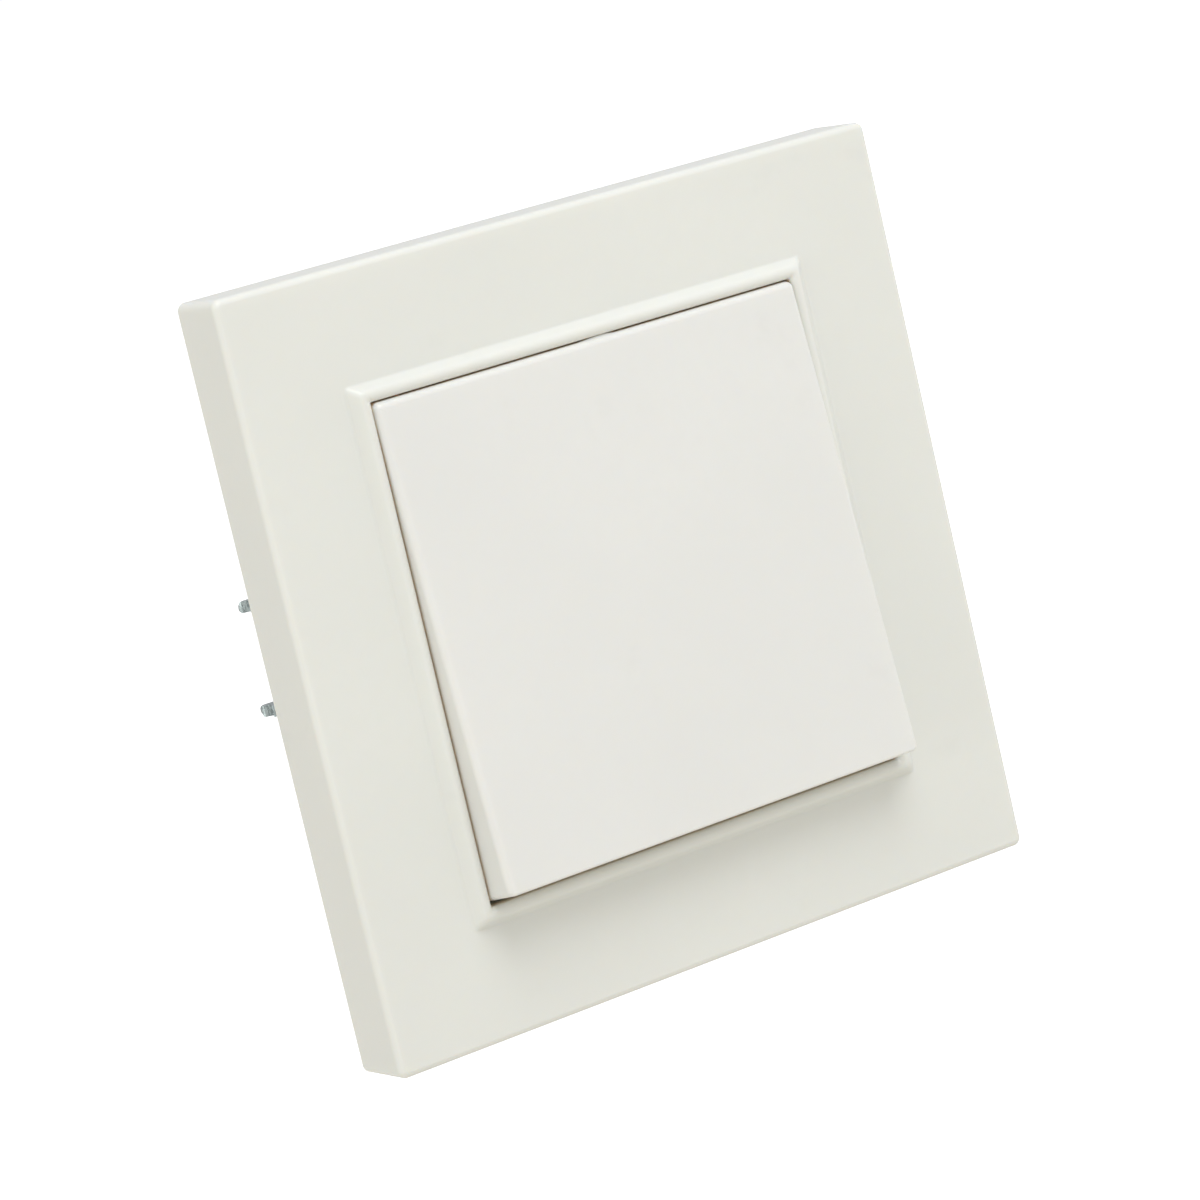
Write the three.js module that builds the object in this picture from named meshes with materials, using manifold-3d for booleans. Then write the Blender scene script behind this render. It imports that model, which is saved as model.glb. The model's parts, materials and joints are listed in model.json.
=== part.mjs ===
// Flush-mounted rocker switch: cover frame, rocker, steel support ring with spreader
// claws, and a two-way contact insert with screwless terminals.
// Millimetres. +X right as seen from the room, +Y into the wall, +Z up. The origin is
// the centre of the plane where the back rim of the cover frame meets the wall.

import * as THREE from 'three';
import { ConvexGeometry } from 'three/addons/geometries/ConvexGeometry.js';
import { mergeVertices } from 'three/addons/utils/BufferGeometryUtils.js';
import Module from 'manifold-3d';

const wasm = await Module();
wasm.setup();

// ------------------------------------------------------------ driving dimensions

const clearance = 0.3; // gap between neighbouring pieces
const sink = 0.2; // how far a joined feature is buried in its parent

// Depths are distances in front of the wall; a half is half an outside width.
const frame = {
  half: 42.5, depth: 8.4, wall: 1.8, cornerRadius: 1, edgeRadius: 0.8,
  openingHalf: 27.7, openingRise: 0.35, lipDepth: 9.62, lipRadius: 0.8, collarFoot: 30,
  flangeWall: 1.6, flangeEnd: 3.2,
};

// The rocker and its carrier are drawn about the pivot axis, in their middle position.
const pivot = { y: -3.7, trunnionRadius: 2, trunnionEnd: 15 };
const rockerCap = {
  tilt: 4.4, halfWidth: 27.4, halfHeight: 27.2, draft: 0.5, faceFromPivot: 8.1, faceWall: 1.9,
  skirtFromPivot: 1.6, skirtWall: 1.5, cornerRadius: 1, edgeRadius: 0.6,
};
const carrier = { halfWidth: 12.3, halfHeight: 13, front: -5.9, back: -4.1, earWidth: 2, earMargin: 0.6 };
const snapPost = { x: 7, z: 9.5, half: 1.1, end: -3, barb: 0.9, barbLength: 0.7, holeHalf: 1.6 };
const plungerPin = { radius: 2.6, bore: 1.9, boreDepth: 8, length: 15.45, noseRadius: 1.6, noseLength: 3.2 };
const socket = { wall: 1, start: -2.9, end: 6 };

// From here on y is measured from the wall plane, positive into the wall.
const ring = {
  half: 35.5, cornerRadius: 4, thickness: 1,
  opening: { halfWidth: 15.9, halfHeight: 17.4, radius: 1.5 },
  boxSlot: { spacing: 60, width: 3.8, length: 9 },
  alignmentHole: { reach: 29, radius: 1.6 },
};
const frameTab = {
  x: 34, z: 18, halfThickness: 0.5, halfWidth: 4, front: -5,
  window: { halfWidth: 2, front: -4, back: -2.2 },
};
const housing = { halfWidth: 18.5, halfHeight: 21, front: 0.3, back: 24, wall: 1.6, cornerRadius: 2 };
const cover = {
  back: 1.8, neckFront: -0.4, cheekInner: 12.6, cheekOuter: 14.6, cheekFront: -6.3, cheekHalf: 4.5,
  window: { halfWidth: 4.6, halfHeight: 5.3 },
};
const rivet = { x: 10, z: 23.4, radius: 1.2, headRadius: 2.4, headHeight: 0.8, tailHeight: 0.6 };
const rivetEar = { halfWidth: 3, end: 25.9, back: 4.5 };

const lever = { y: 12.5, halfWidth: 3.5, halfLength: 12, thickness: 1, swing: 7 };
const contact = {
  reach: 10, fixedReach: 9.7, fixedFront: 16.2, headRadius: 2, headHeight: 1, shankRadius: 1,
};
const terminal = {
  thickness: 1.1, halfWidth: 9, front: 9, back: 21, wallGap: 0.4,
  link: { front: 17.6, thickness: 1, halfWidth: 2.2 },
  pad: { halfWidth: 3, halfLength: 2.5 },
};
const wire = { entryRadius: 1.5, halfSpacing: 6.5, fromWall: 3.1, funnel: 0.6 };
const leafSpring = {
  thickness: 0.4, halfWidth: 2.1, fromWall: 7.1, front: 6, bridgeBack: 9.5,
  bendY: 18.3, bendRadius: 0.9, tipFromWall: 2.1, tipY: 12.4,
};
const button = {
  halfWidth: 7, thickness: 1.4, fromWall: 5.6, front: 21, flangeBack: 22.1, end: 26, flangeMargin: 0.55,
};

const claw = {
  pivotX: 20.9, pivotY: 3.2, earRadius: 2.1, pinRadius: 1.2, pinEnd: 8.7, armZ: 6, thickness: 1.3,
  web: { front: 6.5, back: 7.8, inner: 20.6, outer: 29.2, slotHalf: 2.7 },
  tip: { x: 31, y: 26.5, width: 3.4, radius: 1 },
  tooth: { count: 3, pitch: 1.8, depth: 0.7, length: 0.5 },
};
const clawScrew = {
  x: 25, radius: 1.5, end: 16, headRadius: 2.8, headHeight: 2, slotWidth: 0.8, slotDepth: 1, holeMargin: 0.4,
};
const clawNut = { radius: 2.8, length: 7 };
const clawLug = { inner: 18.9, outer: 22.9, back: 5.3, z: 7.25, thickness: 1 };

// ------------------------------------------------------------ finishes

const ivoryFrame = { color: 0xe3e3db, roughness: 0.38, metalness: 0 };
const ivoryRocker = { color: 0xe7e7df, roughness: 0.32, metalness: 0 };
const whitePlastic = { color: 0xdedfdc, roughness: 0.45, metalness: 0 };
const greyPlastic = { color: 0xb9bcbd, roughness: 0.5, metalness: 0 };
const buttonPlastic = { color: 0x8e979c, roughness: 0.45, metalness: 0 };
const zincSteel = { color: 0xaab0b6, roughness: 0.35, metalness: 1 };
const springSteel = { color: 0xc2c4c6, roughness: 0.25, metalness: 1 };
const brass = { color: 0xc9a95a, roughness: 0.3, metalness: 1 };
const silver = { color: 0xdcdcd8, roughness: 0.25, metalness: 1 };

// ------------------------------------------------------------ solids

// Turns a closed three.js geometry into a solid that can be joined and cut.
function solidOf(geometry) {
  const bare = geometry.clone();
  bare.deleteAttribute('normal');
  bare.deleteAttribute('uv');
  const merged = mergeVertices(bare);
  const vertProperties = new Float32Array(merged.attributes.position.array);
  const corners = merged.index.array;
  const [a, b, c] = [new THREE.Vector3(), new THREE.Vector3(), new THREE.Vector3()];
  const triangles = [];
  let volume = 0;
  for (let i = 0; i < corners.length; i += 3) {
    const [p, q, r] = [corners[i], corners[i + 1], corners[i + 2]];
    if (p === q || q === r || r === p) continue;
    a.fromArray(vertProperties, 3 * p);
    b.fromArray(vertProperties, 3 * q);
    c.fromArray(vertProperties, 3 * r);
    volume += a.dot(b.cross(c));
    triangles.push(p, q, r);
  }
  const triVerts = new Uint32Array(volume < 0 ? triangles.reverse() : triangles);
  return new wasm.Manifold(new wasm.Mesh({ numProp: 3, vertProperties, triVerts }));
}

function geometryOf(solid) {
  const mesh = solid.getMesh();
  const geometry = new THREE.BufferGeometry();
  geometry.setAttribute('position', new THREE.BufferAttribute(mesh.vertProperties, 3));
  geometry.setIndex(new THREE.BufferAttribute(mesh.triVerts, 1));
  geometry.computeVertexNormals();
  return geometry;
}

const join = (first, ...others) => others.reduce((whole, other) => whole.add(other), first);
const cut = (first, ...others) => others.reduce((rest, other) => rest.subtract(other), first);
const turnAboutY = (solid, angle) => solidOf(geometryOf(solid).rotateY(angle));

const around = (middle, half) => [middle - half, middle + half];
const past = ([from, to], margin = 1) => [from - margin, to + margin];
const onSide = (side, ...reaches) => reaches.map((reach) => side * reach);

// Makes one item for each of the two sides, or for each of the four corners.
const sides = [-1, 1];
const overSides = (make) => sides.map((side) => make(side));
const overCorners = (make) => sides.flatMap((sideX) => sides.map((sideZ) => make(sideX, sideZ)));

// A box from its ranges along X, Y and Z, each given in either order.
function block(...ranges) {
  const size = ranges.map(([from, to]) => Math.abs(to - from));
  const middle = ranges.map(([from, to]) => (from + to) / 2);
  return solidOf(new THREE.BoxGeometry(...size).translate(...middle));
}

// A round bar along one axis. The centre's value along that axis is not used.
function bar(axis, radius, [from, to], centre = [0, 0, 0], segments = 20) {
  const geometry = new THREE.CylinderGeometry(radius, radius, Math.abs(to - from), segments);
  if (axis === 'x') geometry.rotateZ(Math.PI / 2);
  if (axis === 'z') geometry.rotateX(Math.PI / 2);
  const place = new THREE.Vector3(...centre);
  place[axis] = (from + to) / 2;
  return solidOf(geometry.translate(...place.toArray()));
}

// An outline drawn on two axes and extruded along the third.
const unit = { x: new THREE.Vector3(1, 0, 0), y: new THREE.Vector3(0, 1, 0), z: new THREE.Vector3(0, 0, 1) };
function extrude(shape, [first, second], [from, to], curveSegments = 4) {
  const depth = Math.abs(to - from);
  const geometry = new THREE.ExtrudeGeometry(shape, { depth, bevelEnabled: false, curveSegments });
  const along = unit[first].clone().cross(unit[second]);
  const forward = along.x + along.y + along.z > 0;
  const start = forward ? Math.min(from, to) : -Math.max(from, to);
  geometry.translate(0, 0, start);
  return solidOf(geometry.applyMatrix4(new THREE.Matrix4().makeBasis(unit[first], unit[second], along)));
}

// A piece turned about a line along Y, from [radius, y] points.
function turned(profile, [x, y, z] = [0, 0, 0], segments = 16) {
  const points = profile.map(([radius, depth]) => new THREE.Vector2(radius, depth));
  return solidOf(new THREE.LatheGeometry(points, segments).translate(x, y, z));
}

// A picture-frame moulding round the Y axis, from a closed section of [half-width, y] points.
// The rise is how much larger the half-height is than the half-width there.
function mitred(section, riseAt) {
  const points = section.map(([half, depth]) => new THREE.Vector2(half * Math.SQRT2, depth));
  points.push(points[0].clone());
  const geometry = new THREE.LatheGeometry(points, 4, Math.PI / 4);
  const { position } = geometry.attributes;
  for (let i = 0; i < position.count; i += 1) {
    const z = position.getZ(i);
    position.setZ(i, z + Math.sign(z) * riseAt(Math.abs(z)));
  }
  return solidOf(geometry);
}

const outline = (points) => new THREE.Shape(points.map(([u, v]) => new THREE.Vector2(u, v)));

function roundedRectangle(halfU, halfV, radius) {
  const shape = new THREE.Shape();
  const [u, v] = [halfU - radius, halfV - radius];
  shape.absarc(u, v, radius, 0, Math.PI / 2);
  shape.absarc(-u, v, radius, Math.PI / 2, Math.PI);
  shape.absarc(-u, -v, radius, Math.PI, 1.5 * Math.PI);
  shape.absarc(u, -v, radius, 1.5 * Math.PI, 2 * Math.PI);
  return shape;
}

// A slot with round ends that runs along u, centred at a distance along v.
function roundedSlot(v, length, width) {
  const shape = new THREE.Shape();
  const reach = (length - width) / 2;
  shape.absarc(reach, v, width / 2, -Math.PI / 2, Math.PI / 2);
  shape.absarc(-reach, v, width / 2, Math.PI / 2, 1.5 * Math.PI);
  return shape;
}

// Points of a circular arc, with its angles in degrees.
function arc([centreU, centreV], radius, [fromAngle, toAngle], steps) {
  return Array.from({ length: steps + 1 }, (unused, i) => {
    const angle = THREE.MathUtils.degToRad(THREE.MathUtils.lerp(fromAngle, toAngle, i / steps));
    return [centreU + radius * Math.cos(angle), centreV + radius * Math.sin(angle)];
  });
}

function piece(name, solid, finish) {
  const mesh = new THREE.Mesh(geometryOf(solid), new THREE.MeshStandardMaterial(finish));
  mesh.name = name;
  return mesh;
}

// ------------------------------------------------------------ cover frame

function makeCoverFrame() {
  const front = -frame.depth;
  const lip = -frame.lipDepth;
  const inside = front + frame.wall;
  const innerHalf = frame.half - frame.wall;
  const flangeHalf = frame.openingHalf + frame.flangeWall;
  const crest = frame.openingHalf + frame.lipRadius;
  const shell = mitred([
    [frame.half, 0],
    ...arc([frame.half - frame.edgeRadius, front + frame.edgeRadius], frame.edgeRadius, [0, -90], 3),
    [frame.collarFoot, front],
    ...arc([crest, lip + frame.lipRadius], frame.lipRadius, [-45, -180], 5),
    [frame.openingHalf, -frame.flangeEnd],
    [flangeHalf, -frame.flangeEnd],
    [flangeHalf, inside],
    [innerHalf, inside],
    [innerHalf, 0],
  ], (half) => (half < frame.collarFoot - sink ? frame.openingRise : 0));
  const plan = roundedRectangle(frame.half, frame.half, frame.cornerRadius);
  const rounded = shell.intersect(extrude(plan, 'zx', past([lip, 0])));
  return join(rounded, ...overCorners(makeFrameHook), ...overCorners((side, ribSide) => makeFrameRibs({
    side, ribSide, front: inside - sink, inner: flangeHalf - sink, outer: innerHalf + sink,
  })));
}

// A snap hook whose barb reaches into the window of one of the ring's tabs.
function makeFrameHook(sideX, sideZ) {
  const hook = { inner: 35, outer: 36.4, back: -2, halfWidth: 2.5 };
  const barb = { inner: 33.8, front: -3.6, back: -2.6, halfWidth: 1.5 };
  const z = sideZ * frameTab.z;
  const root = -frame.depth + frame.wall - sink;
  return join(
    block(onSide(sideX, hook.inner, hook.outer), [root, hook.back], around(z, hook.halfWidth)),
    block(onSide(sideX, barb.inner, hook.inner + sink), [barb.front, barb.back], around(z, barb.halfWidth)),
  );
}

// Two stiffening ribs, one across and one upright, between the collar's flange and the side walls.
function makeFrameRibs({ side, ribSide, front, inner, outer }) {
  const rib = { reach: 9, halfThickness: 0.5, height: 2.2 };
  const span = onSide(side, inner, outer);
  const across = around(ribSide * rib.reach, rib.halfThickness);
  const depth = [front, front + rib.height];
  return join(block(span, depth, across), block(across, depth, span));
}

// ------------------------------------------------------------ rocker, about the pivot

function makeRocker() {
  const { halfWidth, halfHeight, draft, cornerRadius, edgeRadius, skirtWall } = rockerCap;
  const face = -rockerCap.faceFromPivot;
  const inside = face + rockerCap.faceWall;
  const skirtEnd = -rockerCap.skirtFromPivot;
  const rim = ({ y, rise = 0, inset = 0 }) => (
    roundedRectangle(halfHeight + rise - inset, halfWidth - inset, cornerRadius - inset)
      .getPoints(4).map((point) => new THREE.Vector3(point.y, y, point.x))
  );
  const edge = arc([edgeRadius, edgeRadius], edgeRadius, [180, 270], 3);
  const body = solidOf(new ConvexGeometry([
    ...rim({ y: skirtEnd, rise: draft }),
    ...edge.flatMap(([inset, behind]) => rim({ y: face + behind, inset })),
  ]));
  const hollow = extrude(
    roundedRectangle(halfHeight - skirtWall, halfWidth - skirtWall, cornerRadius / 2), 'zx',
    [inside, skirtEnd + 1],
  );
  const rib = { start: 13.5, end: -3.6, halfThickness: 0.5 };
  const ribs = overSides((side) => {
    const [depth, middle] = [[inside - sink, rib.end], around(0, rib.halfThickness)];
    const across = block(onSide(side, rib.start, halfWidth - skirtWall + sink), depth, middle);
    const upright = block(middle, depth, onSide(side, rib.start, halfHeight - skirtWall + sink));
    return across.add(upright);
  });
  const posts = overCorners((sideX, sideZ) => makeSnapPost(sideX, sideZ, inside - sink));
  return join(cut(body, hollow), makeNib(), ...posts, ...ribs);
}

function makeSnapPost(sideX, sideZ, root) {
  const { half, end, barb, barbLength } = snapPost;
  const [across, z] = [around(sideX * snapPost.x, half), sideZ * snapPost.z];
  const stem = block(across, [root, end], around(z, half));
  return stem.add(block(across, [end - barbLength, end], [z, z + sideZ * (half + barb)]));
}

// A shallow lens on the rocker's top wall, just behind the face.
function makeNib() {
  const nib = { middle: 1.1, halfLength: 2.9, rise: 0.17, front: -7.4, back: -6.2 };
  const radius = (nib.halfLength ** 2 + nib.rise ** 2) / (2 * nib.rise);
  const reach = THREE.MathUtils.radToDeg(Math.asin(nib.halfLength / radius));
  const centre = [nib.middle, rockerCap.halfHeight + nib.rise - radius];
  const crown = arc(centre, radius, [90 - reach, 90 + reach], 8);
  const root = rockerCap.halfHeight - sink;
  const lens = outline([[nib.middle + nib.halfLength, root], ...crown, [nib.middle - nib.halfLength, root]]);
  return extrude(lens, 'xz', [nib.front, nib.back]);
}

// The tilting carrier: a plate that the rocker snaps onto, ears with trunnions, and the plunger's socket.
function makeCarrier() {
  const { halfWidth, halfHeight, front, back, earWidth } = carrier;
  const boreRadius = plungerPin.radius + clearance;
  const plate = block(around(0, halfWidth), [front, back], around(0, halfHeight));
  const holes = overCorners((sideX, sideZ) => block(
    around(sideX * snapPost.x, snapPost.holeHalf),
    past([front, back]),
    around(sideZ * snapPost.z, snapPost.holeHalf),
  ));
  const earRadius = pivot.trunnionRadius + carrier.earMargin;
  const ears = overSides((side) => {
    const across = onSide(side, halfWidth - earWidth, halfWidth);
    return join(
      block(across, [back - sink, 0], around(0, earRadius)),
      bar('x', earRadius, across),
      bar('x', pivot.trunnionRadius, onSide(side, halfWidth - earWidth, pivot.trunnionEnd)),
    );
  });
  const tube = bar('y', boreRadius + socket.wall, [back - sink, socket.end]);
  const bore = bar('y', boreRadius, [socket.start, socket.end + 1]);
  return cut(join(plate, ...ears, tube), bore, ...holes);
}

function makePlunger() {
  const { radius, bore, boreDepth, length, noseRadius, noseLength } = plungerPin;
  return turned([
    [0, boreDepth],
    [bore, boreDepth],
    [bore, 0],
    [radius, 0],
    [radius, length - noseLength],
    ...arc([0, length - noseRadius], noseRadius, [0, 81], 3),
    [0, length],
  ], [0, 0, 0], 20);
}

// Compression spring between the socket's bottom and the bottom of the plunger's bore.
function makePlungerSpring() {
  const coil = { radius: 1.4, wireRadius: 0.25, turns: 7, start: -2.3, end: 7.4, stepsPerTurn: 12 };
  class Helix extends THREE.Curve {
    getPoint(t, target = new THREE.Vector3()) {
      const angle = 2 * Math.PI * coil.turns * t;
      const y = THREE.MathUtils.lerp(coil.start, coil.end, t);
      return target.set(coil.radius * Math.cos(angle), y, coil.radius * Math.sin(angle));
    }
  }
  const section = outline(arc([0, 0], coil.wireRadius, [0, 300], 5));
  const along = { steps: coil.stepsPerTurn * coil.turns, extrudePath: new Helix(), bevelEnabled: false };
  return solidOf(new THREE.ExtrudeGeometry(section, along));
}

// ------------------------------------------------------------ support ring and its rivets

function makeSupportRing() {
  const sheet = [-ring.thickness, 0];
  const through = past(sheet);
  const { opening, boxSlot, alignmentHole } = ring;
  const plate = extrude(roundedRectangle(ring.half, ring.half, ring.cornerRadius), 'zx', sheet);
  const inner = roundedRectangle(opening.halfHeight, opening.halfWidth, opening.radius);
  const window = extrude(inner, 'zx', through);
  const slots = overSides((side) => {
    const slot = roundedSlot((side * boxSlot.spacing) / 2, boxSlot.length, boxSlot.width);
    return extrude(slot, 'xz', through).add(extrude(slot, 'zx', through));
  });
  const screwHoles = overSides((side) => (
    bar('y', clawScrew.radius + clawScrew.holeMargin, through, [side * clawScrew.x, 0, 0])
  ));
  const roundHoles = overCorners((sideX, sideZ) => {
    const forRivet = bar('y', rivet.radius + clearance, through, [sideX * rivet.x, 0, sideZ * rivet.z]);
    const corner = [sideX * alignmentHole.reach, 0, sideZ * alignmentHole.reach];
    return forRivet.add(bar('y', alignmentHole.radius, through, corner));
  });
  const blank = cut(plate, window, ...slots, ...screwHoles, ...roundHoles);
  return join(blank, ...overCorners(makeFrameTab), ...overCorners(makeClawLug));
}

// A tab bent forwards, with a window for one of the cover frame's hooks.
function makeFrameTab(sideX, sideZ) {
  const { halfThickness, halfWidth, front, window } = frameTab;
  const [x, z] = [sideX * frameTab.x, sideZ * frameTab.z];
  const leaf = block(around(x, halfThickness), [front, -sink], around(z, halfWidth));
  const through = past(around(x, halfThickness));
  return leaf.subtract(block(through, [window.front, window.back], around(z, window.halfWidth)));
}

// A lug bent backwards, with a hole for one of a claw's pins.
function makeClawLug(sideX, sideZ) {
  const across = onSide(sideZ, clawLug.z, clawLug.z + clawLug.thickness);
  const leaf = block(onSide(sideX, clawLug.inner, clawLug.outer), [-sink, clawLug.back], across);
  const hole = bar('z', claw.pinRadius + clearance, past(around(sideZ * clawLug.z, clawLug.thickness)), [
    sideX * claw.pivotX, claw.pivotY, 0,
  ]);
  return leaf.subtract(hole);
}

function makeRivet() {
  const front = -ring.thickness - clearance;
  const tail = rivetEar.back + clearance;
  const chamfer = 0.6;
  const tailRadius = rivet.headRadius - 0.3;
  return turned([
    [0, front - rivet.headHeight],
    [rivet.headRadius - chamfer, front - rivet.headHeight],
    [rivet.headRadius, front],
    [rivet.radius, front],
    [rivet.radius, tail],
    [tailRadius, tail],
    [tailRadius - chamfer / 2, tail + rivet.tailHeight],
    [0, tail + rivet.tailHeight],
  ]);
}

// ------------------------------------------------------------ base housing and its cover

const cavity = {
  halfWidth: housing.halfWidth - housing.wall,
  halfHeight: housing.halfHeight - housing.wall,
  floor: housing.back - housing.wall,
  cornerRadius: 0.6,
};

// The three clamp stations. Each is drawn with its wall towards +Z, at the given
// distance, and then turned about Y to its place.
const stations = {
  upper: { angle: 0, wall: cavity.halfHeight },
  lower: { angle: Math.PI, wall: cavity.halfHeight },
  common: { angle: Math.PI / 2, wall: cavity.halfWidth },
};
const buttonMiddle = (wall) => wall - button.fromWall - button.thickness / 2;

// A station's two wire entries and its button's slot, as one cutting tool.
function makeStationOpenings(wall) {
  const through = past([cavity.floor, housing.back]);
  const entries = overSides((side) => {
    const centre = [side * wire.halfSpacing, 0, wall - wire.fromWall];
    const funnel = turned([
      [0, housing.back - 2 * wire.funnel],
      [wire.entryRadius - sink, housing.back - 2 * wire.funnel],
      [wire.entryRadius + wire.funnel, housing.back + sink],
      [0, housing.back + sink],
    ], centre);
    return funnel.add(bar('y', wire.entryRadius, through, centre, 16));
  });
  const slot = block(
    around(0, button.halfWidth + clearance), through,
    around(buttonMiddle(wall), button.thickness / 2 + clearance),
  );
  return join(slot, ...entries);
}

// The two short walls that back a station's clamp spring.
function makeStationPartitions(wall) {
  const partition = { inner: 4.6, outer: 9, front: 7, fromWall: 7.8, thickness: 0.8 };
  const span = [wall - partition.fromWall - partition.thickness, wall - partition.fromWall];
  return join(...overSides((side) => (
    block(onSide(side, partition.inner, partition.outer), [partition.front, cavity.floor + sink], span)
  )));
}

function makeHousing() {
  const { halfWidth, halfHeight, front, back, cornerRadius } = housing;
  const post = 2;
  const outer = extrude(roundedRectangle(halfHeight, halfWidth, cornerRadius), 'zx', [front, back]);
  const inner = roundedRectangle(cavity.halfHeight, cavity.halfWidth, cavity.cornerRadius);
  const room = extrude(inner, 'zx', [front - 1, cavity.floor]);
  const posts = overCorners((sideX, sideZ) => block(
    onSide(sideX, cavity.halfWidth - post, cavity.halfWidth + sink),
    [cover.back + clearance, cavity.floor + sink],
    onSide(sideZ, cavity.halfHeight - post, cavity.halfHeight + sink),
  ));
  const ears = overCorners((sideX, sideZ) => {
    const across = around(sideX * rivet.x, rivetEar.halfWidth);
    const ear = block(across, [front, rivetEar.back], onSide(sideZ, halfHeight - 1, rivetEar.end));
    const hole = past([front, rivetEar.back]);
    return ear.subtract(bar('y', rivet.radius + clearance, hole, [sideX * rivet.x, 0, sideZ * rivet.z]));
  });
  const places = Object.values(stations);
  const partitions = places.map(({ angle, wall }) => turnAboutY(makeStationPartitions(wall), angle));
  const openings = places.map(({ angle, wall }) => turnAboutY(makeStationOpenings(wall), angle));
  return cut(join(cut(outer, room), ...posts, ...partitions, ...ears), ...openings);
}

// A flange behind the ring, a neck in its opening, and two cheeks that carry the trunnions.
function makeHousingCover() {
  const { cheekInner, cheekOuter, cheekFront, cheekHalf, neckFront, window } = cover;
  const flange = extrude(
    roundedRectangle(cavity.halfHeight - clearance, cavity.halfWidth - clearance, cavity.cornerRadius), 'zx',
    [housing.front, cover.back],
  );
  const { halfWidth, halfHeight, radius } = ring.opening;
  const neck = extrude(
    roundedRectangle(halfHeight - clearance, halfWidth - clearance, radius - clearance), 'zx',
    [neckFront, housing.front + sink],
  );
  const cheeks = overSides((side) => {
    const across = onSide(side, cheekInner, cheekOuter);
    const centre = [0, pivot.y, 0];
    const foot = block(across, [pivot.y, neckFront + sink], around(0, cheekHalf));
    const crown = bar('x', cheekHalf, across, centre, 24);
    const above = [cheekFront - cheekHalf, cheekFront];
    const flat = block(past(around(0, cheekOuter)), above, past(around(0, cheekHalf)));
    const through = onSide(side, cheekInner - 1, cheekOuter + 1);
    const hole = bar('x', pivot.trunnionRadius + clearance, through, centre);
    return cut(foot.add(crown), flat, hole);
  });
  const plungerWindow = block(
    around(0, window.halfWidth), past([cheekFront, cover.back]), around(0, window.halfHeight),
  );
  return cut(join(flange, neck, ...cheeks), plungerWindow);
}

// ------------------------------------------------------------ contacts and terminals

// A contact rivet whose head's face is at y = 0 and whose shank runs along +Y through a plate.
function makeContactRivet(plateThickness) {
  const { headRadius, headHeight, shankRadius } = contact;
  const end = headHeight + clearance + plateThickness + 0.6;
  return turned([
    [0, 0],
    [headRadius - 0.7, 0],
    [headRadius, 0.35],
    [headRadius, headHeight],
    [shankRadius, headHeight],
    [shankRadius, end],
    [0, end],
  ]);
}

// The changeover lever, about its fulcrum.
function makeContactLever() {
  const depth = around(0, lever.thickness / 2);
  const strip = extrude(roundedRectangle(lever.halfLength, lever.halfWidth, 1.5), 'zx', depth);
  const holes = overSides((side) => (
    bar('y', contact.shankRadius + clearance, past(depth), [0, 0, side * contact.reach], 16)
  ));
  return cut(strip, ...holes);
}

const linkDepth = [terminal.link.front, terminal.link.front + terminal.link.thickness];

// A busbar along the station's wall, with a link that runs inwards between the wires.
function makeBusbar(wall, linkEnd) {
  const outer = wall - terminal.wallGap;
  const busbar = block(
    around(0, terminal.halfWidth), [terminal.front, terminal.back], [outer - terminal.thickness, outer],
  );
  return busbar.add(block(around(0, terminal.link.halfWidth), linkDepth, [linkEnd, outer]));
}

function makeSwitchedTerminal(wall) {
  const { halfWidth, halfLength } = terminal.pad;
  const pad = block(around(0, halfWidth), linkDepth, around(contact.fixedReach, halfLength));
  const hole = bar('y', contact.shankRadius + clearance, past(linkDepth), [0, 0, contact.fixedReach], 16);
  return makeBusbar(wall, contact.fixedReach).add(pad).subtract(hole);
}

// The common busbar's link ends in a blade whose edge carries the changeover lever.
function makeCommonTerminal(wall) {
  const tip = lever.y + lever.thickness / 2 + clearance;
  const blade = { halfThickness: 0.6, tipHalf: 0.12, taper: 1.2 };
  const root = terminal.link.front + sink;
  const section = outline([
    [tip, -blade.tipHalf],
    [tip + blade.taper, -blade.halfThickness],
    [root, -blade.halfThickness],
    [root, blade.halfThickness],
    [tip + blade.taper, blade.halfThickness],
    [tip, blade.tipHalf],
  ]);
  return makeBusbar(wall, -terminal.link.halfWidth).add(extrude(section, 'yx', around(0, lever.halfWidth)));
}

// Two leaves that bend round near the housing's floor and lean on the busbar, joined by a bridge.
function makeClampSpring(wall) {
  const { thickness, halfWidth, front, bridgeBack, bendY, bendRadius } = leafSpring;
  const anchor = wall - leafSpring.fromWall;
  const tip = wall - leafSpring.tipFromWall;
  const centre = [anchor + bendRadius, bendY];
  const strip = outline([
    [anchor, front],
    [anchor, bendY],
    ...arc(centre, bendRadius, [165, 20], 6),
    [tip, leafSpring.tipY],
    [tip - thickness, leafSpring.tipY - thickness / 3],
    ...arc(centre, bendRadius - thickness, [20, 180], 6),
    [anchor + thickness, front],
  ]);
  const leaves = overSides((side) => extrude(strip, 'zy', around(side * wire.halfSpacing, halfWidth)));
  const bridge = block(around(0, wire.halfSpacing), [front, bridgeBack], [anchor, anchor + thickness]);
  return join(bridge, ...leaves);
}

// A release button: a flange kept inside the housing and a grooved key through its floor.
function makeReleaseButton(wall) {
  const groove = { count: 4, pitch: 2, halfWidth: 0.3, depth: 0.5 };
  const { halfWidth, thickness, flangeBack, flangeMargin, end } = button;
  const middle = buttonMiddle(wall);
  const key = block(around(0, halfWidth), [flangeBack - sink, end], around(middle, thickness / 2));
  const flange = block(
    around(0, halfWidth + flangeMargin), [button.front, flangeBack],
    around(middle, thickness / 2 + flangeMargin),
  );
  const grooves = Array.from({ length: groove.count }, (unused, i) => {
    const x = (i - (groove.count - 1) / 2) * groove.pitch;
    return block(around(x, groove.halfWidth), [end - groove.depth, end + 1], around(middle, thickness));
  });
  return cut(key.add(flange), ...grooves);
}

// ------------------------------------------------------------ spreader claws

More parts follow.
